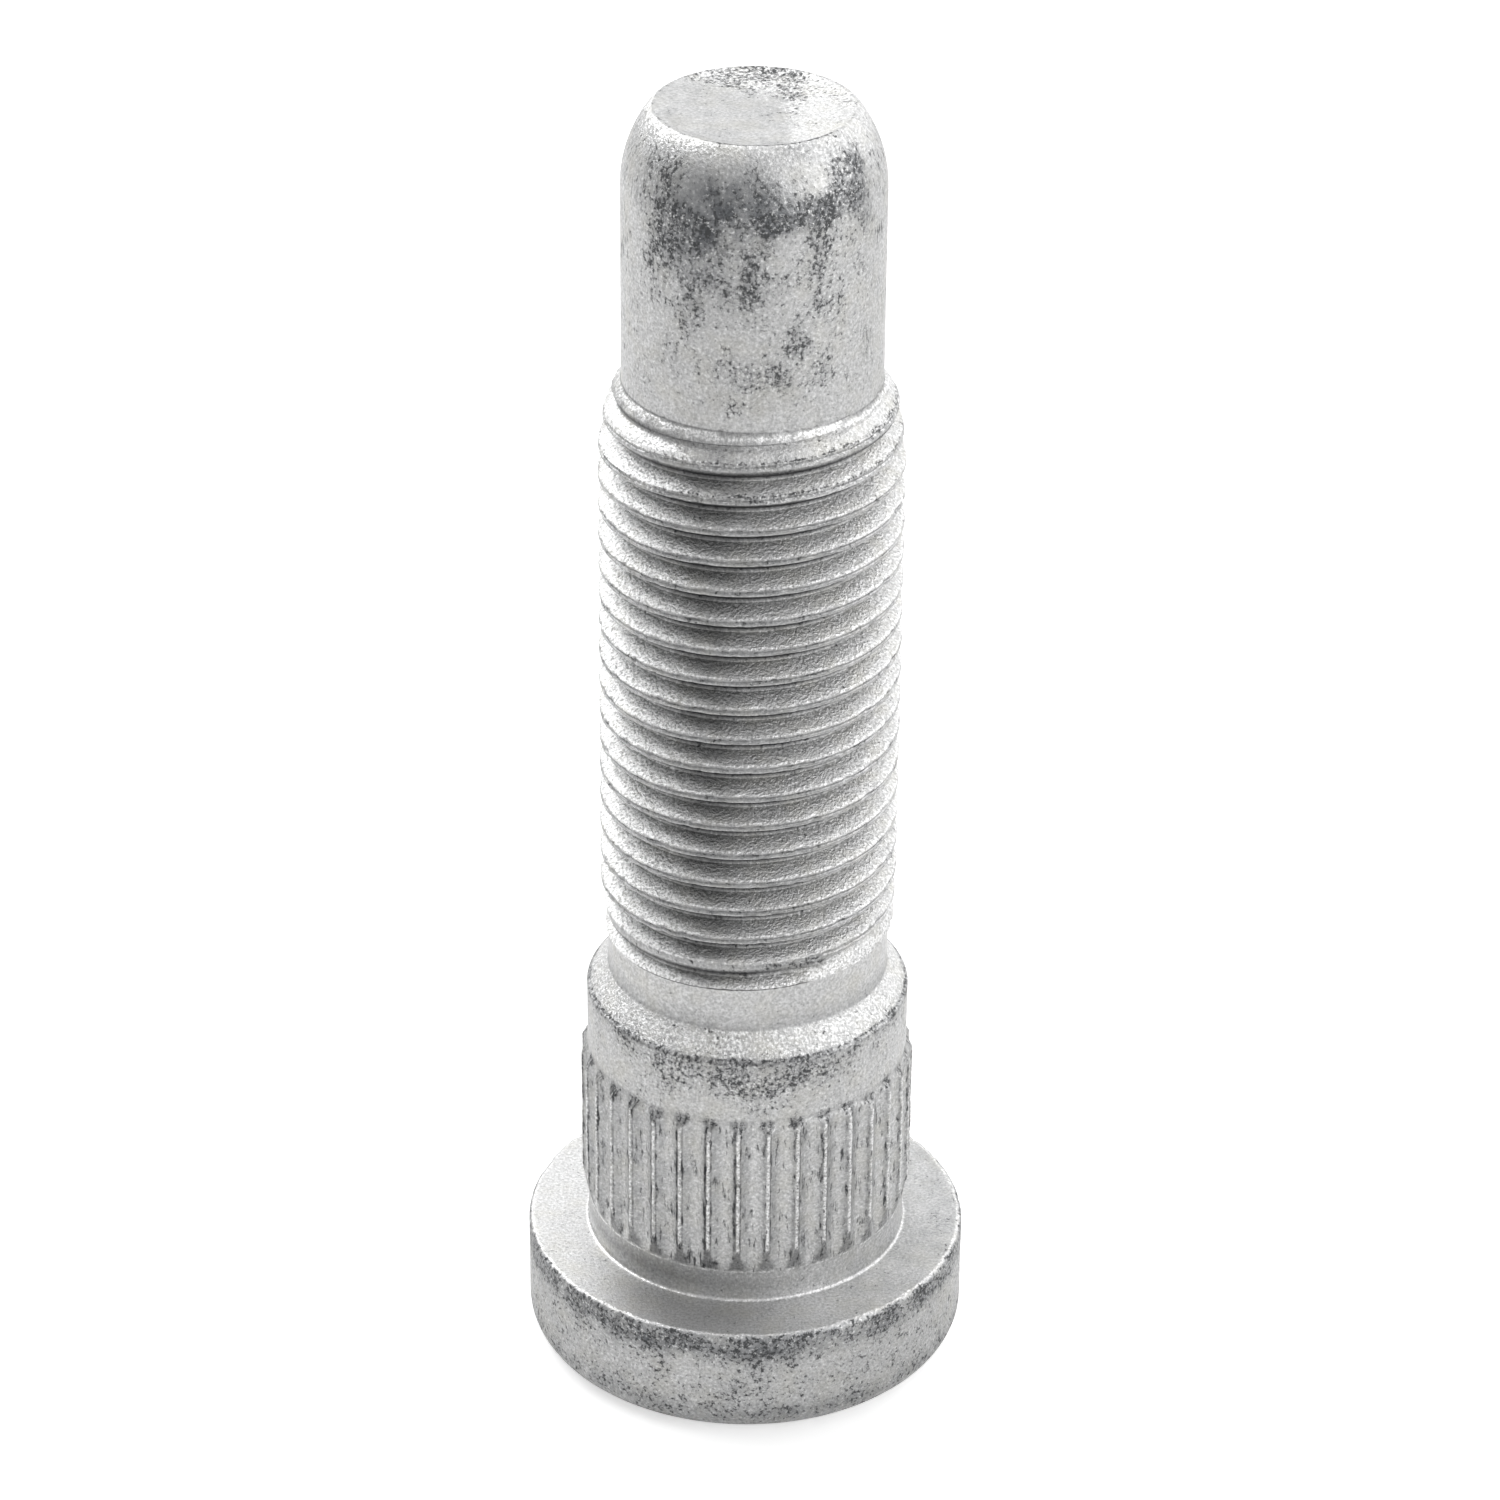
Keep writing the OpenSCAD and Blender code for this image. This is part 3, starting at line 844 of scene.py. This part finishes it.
def guide_paint(sizes, reach, turn, z, drift):
    """The plain band, flecked towards its upper edge, with painted shade along its broken top edge."""
    middle = 1 - 0.6 * smooth_step(abs(turn), 25, 60)
    top = smooth_step(z, sizes.cone_low - 2.2 * MM + drift, sizes.cone_low - 0.3 * MM) * middle
    # Painted shade along the broken edge at the band's top, strongest at the front
    edge = smooth_step(z, sizes.cone_low - 0.32 * MM, sizes.cone_low - 0.16 * MM)
    more_flecks, more_bloom = marked(reach, turn, z)
    return paint(flecks_and_shade=0.25 + 0.35 * top + 0.25 * edge + 0.55 * more_flecks, drawn=0.2, sandy=0.4,
                 bloom_and_shade=0.04 + 0.2 * top + 0.3 * edge + 0.5 * more_bloom, painted_shade=0.3 * edge * middle)


def guide_cone_paint(sizes, point, turn, z):
    """The bright sandy cone above the band, with a dark line of painted shade along its lower edge, and a few
    dull patches on the left.
    """
    # A dark line of painted shade along the cone's lower edge
    lower_edge = 1 - smooth_step(z, sizes.cone_low + 0.02 * MM, sizes.cone_low + 0.12 * MM)
    patchy = smooth_step(rough(point, 1.4 * MM, "cone patches"), -0.1, 0.5) * within(turn, -45, 5, 15)
    return paint(flecks_and_shade=max(0.8 * lower_edge, 0.45 * patchy), bloom_and_shade=0.6 * lower_edge + 0.25 * patchy,
                 wear_and_highlight=0.32 * (1 - lower_edge), sandy=1.0)


def surface_paint(sizes, point):
    """How much of each kind of paint a place carries."""
    x, y, z = point
    reach = math.hypot(x, y)
    angle = math.atan2(y, x)
    turn = math.degrees(math.remainder(angle - FRONT, FULL_TURN))
    drift = rough((x, y, 0.3 * z), 3.0 * MM, "drift") * 1.2 * MM
    if z < sizes.head_height + 0.3 * MM:
        return head_paint(sizes, reach, turn, z, drift)
    if z < sizes.ridge_low:
        return collar_paint(sizes, turn, z)
    if z < sizes.ridge_high + 0.1 * MM:
        return spline_paint(sizes, turn, z, angle)
    if z < sizes.cone_low:
        return guide_paint(sizes, reach, turn, z, drift)
    if z < sizes.cone_high - 0.02 * MM:
        return guide_cone_paint(sizes, point, turn, z)
    if z < sizes.thread_low - 0.5 * MM:
        # Painted shade in the corner at the foot of the neck
        corner = 1 - smooth_step(z, sizes.cone_high + 0.05 * MM, sizes.cone_high + 0.6 * MM)
        return paint(flecks_and_shade=0.02, bloom_and_shade=0.3 * corner, drawn=0.1, sandy=0.05, painted_shade=0.12 * corner)
    if z < sizes.thread_high - 1.15 * MM:
        return thread_paint(sizes, reach, turn, z, angle)
    return pilot_paint(sizes, x, y, reach, turn, z, drift)


# Edges that bend more than this stay sharp
SHARP_ANGLE = math.radians(38)


def stud_mesh(sizes):
    """The whole stud as one closed mesh, with its finish painted on the points."""
    skin = Skin()
    top = head_rings(skin, sizes)
    top = spline_rings(skin, sizes, top)
    neck_top = guide_rings(skin, sizes, top)
    cone_high = sizes.thread_high - CONE_END_DROP
    pilot_foot = skin.ring(even_angles(sizes), sizes.pilot_diameter / 2, cone_high)
    build_thread(skin, sizes, neck_top, pilot_foot)
    pilot_rings(skin, sizes, pilot_foot)
    mesh = bpy.data.meshes.new(NODE)
    mesh.from_pydata([worn(sizes, p) for p in skin.points], [], skin.faces)
    painted = [surface_paint(sizes, p) for p in skin.points]
    for name, values in zip(PAINT, zip(*painted)):
        mesh.attributes.new(name, "FLOAT", "POINT").data.foreach_set("value", values)
    mesh.polygons.foreach_set("use_smooth", [True] * len(mesh.polygons))
    mesh.set_sharp_from_angle(angle=SHARP_ANGLE)
    mesh.validate()
    mesh.update()
    return mesh


def add_node(tree, kind, inputs=None, **settings):
    """Adds a node, sets its options, and fills or links each named or numbered input."""
    made = tree.nodes.new(kind)
    for name, value in settings.items():
        setattr(made, name, value)
    for name, value in (inputs or {}).items():
        if isinstance(value, bpy.types.NodeSocket):
            tree.links.new(value, made.inputs[name])
        else:
            made.inputs[name].default_value = value
    return made


# For each pattern of the coating: size of its spots in mm, how much longer they are than wide, and the
# noise's detail and roughness. The grains are coarser than single flakes, which no picture of it shows.
PATTERNS = {
    # Zinc flakes clump into grains
    "grain": (0.14, 1.0, 3.0, 0.65),
    # Uneven thickness of the coating
    "cloud": (1.3, 1.0, 2.0, 0.5),
    # Where the coating has rubbed through, and the wider patches in which those flecks gather
    "rubbed": (0.2, 1.0, 3.0, 0.65),
    "streaked": (0.17, 4.0, 3.0, 0.6),
    "patch": (1.1, 1.2, 3.0, 0.6),
}
# Height of the coating's relief
RELIEF = 0.09 * MM


def coating_patterns(tree):
    """The noise of each pattern, in the stud's own space."""
    place = add_node(tree, "ShaderNodeTexCoord").outputs["Object"]
    pattern = {}
    for name, (spot_mm, longer, detail, roughness) in PATTERNS.items():
        per_metre = 1 / (spot_mm * MM)
        spot = add_node(tree, "ShaderNodeMapping",
                        {"Vector": place, "Scale": (per_metre, per_metre, per_metre / longer)})
        spots = add_node(tree, "ShaderNodeTexNoise",
                         {"Vector": spot.outputs["Vector"], "Scale": 1.0, "Detail": detail,
                          "Roughness": roughness})
        pattern[name] = spots.outputs["Fac"]
    return pattern


def zinc_coated_forging(colours):
    """Forged steel, tumbled in zinc flake. The coating lies as a fine bright grain that glitters at the
    edges of every highlight. It is thin and dull between the grains, and dark flecks gather where it has
    been rubbed. Painted shade darkens grooves, corners and edges, and painted highlights brighten some flanks
    and edges."""
    material = bpy.data.materials.new("zinc_flake_coated_forged_steel")
    material.use_nodes = True
    tree = material.node_tree
    tree.nodes.clear()
    pattern = coating_patterns(tree)
    paint_at = {name: add_node(tree, "ShaderNodeAttribute", attribute_name=name).outputs["Fac"]
                for name in PAINT}
    # The clean coating: bright and dull grains, and a warm tint where it is thin
    bright = add_node(tree, "ShaderNodeMapRange",
                      {"Value": pattern["grain"], "From Min": 0.36, "From Max": 0.66})
    zinc = add_node(tree, "ShaderNodeMix",
                    {"Factor": bright.outputs["Result"], "A": colours.zinc_dark, "B": colours.zinc_light},
                    data_type="RGBA")
    thin = add_node(tree, "ShaderNodeMapRange",
                    {"Value": pattern["cloud"], "From Min": 0.45, "From Max": 0.75, "To Max": 0.3})
    tinted = add_node(tree, "ShaderNodeMix",
                      {"Factor": thin.outputs["Result"], "A": zinc.outputs["Result"], "B": colours.stain},
                      data_type="RGBA")
    # Soft bloom and painted shade, uneven from patch to patch
    uneven = add_node(tree, "ShaderNodeMapRange",
                      {"Value": pattern["patch"], "From Min": 0.3, "From Max": 0.7, "To Min": 0.45,
                       "To Max": 1.3})
    soft = add_node(tree, "ShaderNodeMath", {0: paint_at["bloom_and_shade"], 1: uneven.outputs["Result"]},
                    operation="MULTIPLY", use_clamp=True)
    bloomed_and_shaded = add_node(tree, "ShaderNodeMix",
                       {"Factor": soft.outputs["Value"], "A": tinted.outputs["Result"], "B": colours.bloom_and_shade},
                       data_type="RGBA")
    # Flecks and painted shade: the more paint a place carries, the more of the pattern passes the mark
    spots = add_node(tree, "ShaderNodeMix",
                     {"Factor": paint_at["drawn"], "A": pattern["rubbed"], "B": pattern["streaked"]},
                     data_type="FLOAT")
    gathered = add_node(tree, "ShaderNodeMath", {0: pattern["patch"], 1: 0.35, 2: spots.outputs["Result"]},
                        operation="MULTIPLY_ADD")
    reached = add_node(tree, "ShaderNodeMath",
                       {0: paint_at["flecks_and_shade"], 1: 0.22, 2: gathered.outputs["Value"]},
                       operation="MULTIPLY_ADD")
    fleck_and_shade = add_node(tree, "ShaderNodeMapRange",
                     {"Value": reached.outputs["Value"], "From Min": 0.81, "From Max": 0.94, "To Max": 0.95})
    flecked_and_shaded = add_node(tree, "ShaderNodeMix",
                       {"Factor": fleck_and_shade.outputs["Result"], "A": bloomed_and_shaded.outputs["Result"],
                        "B": colours.flecks_and_shade},
                       data_type="RGBA")
    # Bare metal at worn edges and painted highlights, broken up by the grain
    scuffed = add_node(tree, "ShaderNodeMath", {0: paint_at["flecks_and_shade"], 1: 0.12, 2: pattern["grain"]},
                       operation="MULTIPLY_ADD")
    bare_and_highlight_reach = add_node(tree, "ShaderNodeMath",
                          {0: paint_at["wear_and_highlight"], 1: 0.45, 2: scuffed.outputs["Value"]},
                          operation="MULTIPLY_ADD")
    bare_and_highlight = add_node(tree, "ShaderNodeMapRange",
                    {"Value": bare_and_highlight_reach.outputs["Value"], "From Min": 0.66, "From Max": 0.86})
    bared_and_highlighted = add_node(tree, "ShaderNodeMix",
                     {"Factor": bare_and_highlight.outputs["Result"], "A": flecked_and_shaded.outputs["Result"], "B": colours.worn},
                     data_type="RGBA")
    # Painted shade lies over all of it as a smooth dark film
    finish = add_node(tree, "ShaderNodeMix",
                      {"Factor": paint_at["painted_shade"], "A": bared_and_highlighted.outputs["Result"], "B": colours.painted_shade},
                      data_type="RGBA")
    # Grain roughens the gloss, flecks and painted shade are duller, and bare metal and painted highlights are
    # glossier
    satin = add_node(tree, "ShaderNodeMapRange",
                     {"Value": pattern["grain"], "From Min": 0.35, "From Max": 0.65, "To Min": 0.46,
                      "To Max": 0.36})
    sanded = add_node(tree, "ShaderNodeMath",
                      {0: paint_at["sandy"], 1: 0.07, 2: satin.outputs["Result"]},
                      operation="MULTIPLY_ADD")
    duller = add_node(tree, "ShaderNodeMath",
                      {0: fleck_and_shade.outputs["Result"], 1: 0.12, 2: sanded.outputs["Value"]},
                      operation="MULTIPLY_ADD")
    glossier = add_node(tree, "ShaderNodeMath",
                        {0: bare_and_highlight.outputs["Result"], 1: -0.12, 2: duller.outputs["Value"]},
                        operation="MULTIPLY_ADD")
    # Relief: the grain stands up, the flecks and painted shade are shallow pits, and drawing lines run along
    # the stud
    lines = add_node(tree, "ShaderNodeMath",
                     {0: pattern["streaked"], 1: paint_at["drawn"], 2: pattern["grain"]},
                     operation="MULTIPLY_ADD")
    pits = add_node(tree, "ShaderNodeMath",
                    {0: fleck_and_shade.outputs["Result"], 1: -0.35, 2: lines.outputs["Value"]},
                    operation="MULTIPLY_ADD")
    strength = add_node(tree, "ShaderNodeMapRange",
                        {"Value": paint_at["sandy"], "To Min": 0.15, "To Max": 1.0})
    bump = add_node(tree, "ShaderNodeBump",
                    {"Height": pits.outputs["Value"], "Distance": RELIEF,
                     "Strength": strength.outputs["Result"]})
    shader = add_node(tree, "ShaderNodeBsdfPrincipled",
                      {"Base Color": finish.outputs["Result"], "Metallic": 1.0,
                       "Roughness": glossier.outputs["Value"], "Normal": bump.outputs["Normal"]})
    add_node(tree, "ShaderNodeOutputMaterial", {"Surface": shader.outputs["BSDF"]})
    return material


def seen_level(tree, in_light, in_metal, in_camera):
    """A strength with one value for light, one for what metal and glass show, and one for the camera."""
    path = add_node(tree, "ShaderNodeLightPath")
    mirrored = add_node(tree, "ShaderNodeMath", {0: path.outputs["Is Glossy Ray"],
                                                 1: path.outputs["Is Transmission Ray"]}, operation="MAXIMUM")
    metal = add_node(tree, "ShaderNodeMapRange", {"Value": mirrored.outputs["Value"], "To Min": in_light,
                                                  "To Max": in_metal})
    return add_node(tree, "ShaderNodeMapRange", {"Value": path.outputs["Is Camera Ray"],
                                                 "To Min": metal.outputs["Result"],
                                                 "To Max": in_camera}).outputs["Result"]


def seamless_paper(stage):
    """Matt white background paper, which keeps the stud's soft shadow and is plain white elsewhere."""
    material = bpy.data.materials.new("seamless_white_paper")
    material.use_nodes = True
    tree = material.node_tree
    tree.nodes.clear()
    paper = add_node(tree, "ShaderNodeBsdfDiffuse", {"Color": stage.floor})
    # The lamps already make the paper nearly white in the metal, and the lift does the rest for the camera
    lift = seen_level(tree, in_light=0.0, in_metal=0.14, in_camera=0.5)
    glow = add_node(tree, "ShaderNodeEmission", {"Strength": lift})
    both = add_node(tree, "ShaderNodeAddShader", {0: paper.outputs[0], 1: glow.outputs[0]})
    add_node(tree, "ShaderNodeOutputMaterial", {"Surface": both.outputs[0]})
    return material


def light_the_room(stage):
    """A pale room, brighter to the right and behind, which the camera alone sees as plain white."""
    world = bpy.data.worlds.new("room")
    world.use_nodes = True
    tree = world.node_tree
    tree.nodes.clear()
    direction = add_node(tree, "ShaderNodeTexCoord").outputs["Generated"]
    toward = add_node(tree, "ShaderNodeVectorMath", {0: direction, 1: stage.bright_side},
                      operation="DOT_PRODUCT")
    fall = add_node(tree, "ShaderNodeMapRange",
                    {"Value": toward.outputs["Value"], "From Min": -1.0, "To Min": 1 - stage.room_fall,
                     "To Max": 1 + stage.room_fall})
    path = add_node(tree, "ShaderNodeLightPath")
    even = add_node(tree, "ShaderNodeMix",
                    {"Factor": path.outputs["Is Camera Ray"], "A": fall.outputs["Result"], "B": 1.0},
                    data_type="FLOAT")
    level = seen_level(tree, in_light=stage.room_level, in_metal=1.0, in_camera=1.0)
    strength = add_node(tree, "ShaderNodeMath", {0: even.outputs["Result"], 1: level}, operation="MULTIPLY")
    sky = add_node(tree, "ShaderNodeBackground",
                   {"Color": (1.0, 1.0, 1.0, 1.0), "Strength": strength.outputs["Value"]})
    add_node(tree, "ShaderNodeOutputWorld", {"Surface": sky.outputs["Background"]})
    bpy.context.scene.world = world


# Half the side of the floor, in metres
FLOOR_REACH = 2.0


def softbox(name, brightness, direction, distance, side):
    """A flat square lamp that faces the middle of the stud, with a face of a given brightness."""
    light = bpy.data.lights.new(name, "AREA")
    light.shape = "SQUARE"
    light.size = side
    light.energy = brightness * math.pi * side * side
    lamp = bpy.data.objects.new(name, light)
    outward = Vector(direction).normalized()
    lamp.location = Vector((0.0, 0.0, HIGH.z / 2)) + outward * distance
    lamp.rotation_euler = (-outward).to_track_quat("-Z", "Y").to_euler()
    lamp.visible_camera = False
    bpy.context.scene.collection.objects.link(lamp)


# The photograph is 1500 pixels square. The camera that fits it looks down by 29.8 degrees at a point on the
# stud's axis from 238 mm, and leans by half a degree.
FOCAL_PIXELS = 5139.4
PHOTO_PIXELS = 1500
SENSOR = 36.0
CAMERA_DISTANCE = 238.0 * MM
CAMERA_ELEVATION = math.radians(29.807)
CAMERA_ROLL = math.radians(0.493)
AIM_HEIGHT = 31.55 * MM
AIM_SIDE = 0.03 * MM


def place_camera():
    """The camera of the photograph."""
    data = bpy.data.cameras.new("camera")
    data.sensor_width = SENSOR
    data.lens = FOCAL_PIXELS / PHOTO_PIXELS * SENSOR
    data.clip_start, data.clip_end = 0.01, 20.0
    camera = bpy.data.objects.new("camera", data)
    sine, cosine = math.sin(CAMERA_ELEVATION), math.cos(CAMERA_ELEVATION)
    right, up, back = Vector((1, 0, 0)), Vector((0, sine, cosine)), Vector((0, -cosine, sine))
    leaning_right = right * math.cos(CAMERA_ROLL) + up * math.sin(CAMERA_ROLL)
    leaning_up = up * math.cos(CAMERA_ROLL) - right * math.sin(CAMERA_ROLL)
    turned = Matrix((leaning_right, leaning_up, back)).transposed().to_4x4()
    aim = Vector((AIM_SIDE, 0.0, AIM_HEIGHT))
    camera.matrix_world = Matrix.Translation(aim + back * CAMERA_DISTANCE) @ turned
    bpy.context.scene.collection.objects.link(camera)
    bpy.context.scene.camera = camera


class STUD_OT_forging(Operator):
    """Build the stud's coated surface, with its ridges, thread and cropped end"""

    bl_idname = "wheel_stud.forging"
    bl_label = "Build the stud"

    def execute(self, context):
        scene = context.scene
        stud = bpy.data.objects.new("stud_forging", stud_mesh(scene.stud_sizes))
        stud.data.materials.append(zinc_coated_forging(scene.stud_colours))
        scene.collection.objects.link(stud)
        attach(stud, BODY)
        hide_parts(NODE)
        return {"FINISHED"}


class STUD_OT_stage(Operator):
    """Set up the floor, the soft lights and the camera"""

    bl_idname = "wheel_stud.stage"
    bl_label = "Set the stage"

    def execute(self, context):
        stage = context.scene.stud_stage
        corners = [(-FLOOR_REACH, -FLOOR_REACH, 0.0), (FLOOR_REACH, -FLOOR_REACH, 0.0),
                   (FLOOR_REACH, FLOOR_REACH, 0.0), (-FLOOR_REACH, FLOOR_REACH, 0.0)]
        sheet = bpy.data.meshes.new("floor")
        sheet.from_pydata(corners, [], [(0, 1, 2, 3)])
        sheet.materials.append(seamless_paper(stage))
        floor = bpy.data.objects.new("floor", sheet)
        context.scene.collection.objects.link(floor)
        light_the_room(stage)
        softbox("left_softbox", stage.left_level, direction=(-0.52, 0.48, 0.71), distance=0.4, side=0.38)
        softbox("right_softbox", stage.right_level, direction=(0.62, 0.5, 0.55), distance=0.4, side=0.34)
        softbox("front_softbox", stage.front_level, direction=(0.75, -0.5, 0.4), distance=0.45, side=0.34)
        place_camera()
        context.scene.view_settings.view_transform = "Standard"
        return {"FINISHED"}


class STUD_PT_panel(Panel):
    """Sizes, colours and building steps of the wheel stud"""

    bl_label = "Wheel stud"
    bl_idname = "STUD_PT_panel"
    bl_space_type = "VIEW_3D"
    bl_region_type = "UI"
    bl_category = "Wheel stud"

    def draw(self, context):
        for group in (context.scene.stud_sizes, context.scene.stud_colours, context.scene.stud_stage):
            box = self.layout.box()
            for name in group.__annotations__:
                box.prop(group, name)
        for operator in (STUD_OT_forging, STUD_OT_stage):
            self.layout.operator(operator.bl_idname)


CLASSES = (StudSizes, StudColours, StageSettings, STUD_OT_forging, STUD_OT_stage, STUD_PT_panel)


def register():
    for cls in CLASSES:
        bpy.utils.register_class(cls)
    bpy.types.Scene.stud_sizes = PointerProperty(type=StudSizes)
    bpy.types.Scene.stud_colours = PointerProperty(type=StudColours)
    bpy.types.Scene.stud_stage = PointerProperty(type=StageSettings)


def unregister():
    del bpy.types.Scene.stud_stage
    del bpy.types.Scene.stud_colours
    del bpy.types.Scene.stud_sizes
    for cls in reversed(CLASSES):
        bpy.utils.unregister_class(cls)


def main():
    register()
    bpy.ops.wheel_stud.forging()
    bpy.ops.wheel_stud.stage()


if __name__ == "__main__":
    main()
